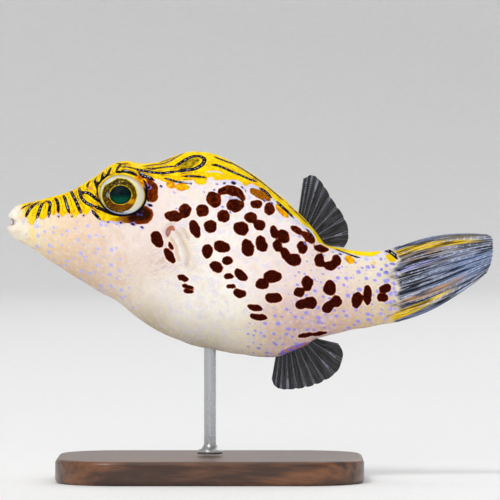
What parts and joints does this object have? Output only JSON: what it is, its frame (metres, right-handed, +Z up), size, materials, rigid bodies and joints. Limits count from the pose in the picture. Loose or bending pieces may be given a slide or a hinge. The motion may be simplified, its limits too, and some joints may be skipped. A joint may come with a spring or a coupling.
{
  "type": "leopard sharpnose pufferfish model on a display stand",
  "caption": "Life-size still model of a small leopard-spotted sharpnose puffer, fins spread, held level by a rod on a flat base.",
  "frame": {"origin": "on the floor, under the middle of the fish's length and in its plane of symmetry", "axes": "-X towards the snout, +X towards the tail fin, -Y towards the fish's left flank, +Z up"},
  "size_m": [0.0729, 0.031, 0.0493],
  "materials": {
    "skin": "wet-looking skin: cream and pink flanks with dark red-brown spots, a lined yellow back and fine lavender dots",
    "fin": "thin smoky membrane with pale rays",
    "tail_fin": "folded blue-grey membrane with pale jointed rays and yellow edges",
    "eye": "clear polished dome over a gold iris and a dark teal pupil",
    "stand_wood": "satin-varnished walnut",
    "stand_metal": "brushed stainless rod"
  },
  "bodies": {
    "root": {"upper_lip": "skin", "lower_lip": "skin", "head": "skin", "trunk": "skin", "tail": "skin", "dorsal_fin": "fin", "anal_fin": "fin", "caudal_fin": "tail_fin", "pectoral_fin_left": "fin", "eye_left": "eye", "pectoral_fin_right": "fin", "eye_right": "eye", "stand_base": "stand_wood", "stand_rod": "stand_metal"}
  },
  "joints": []
}
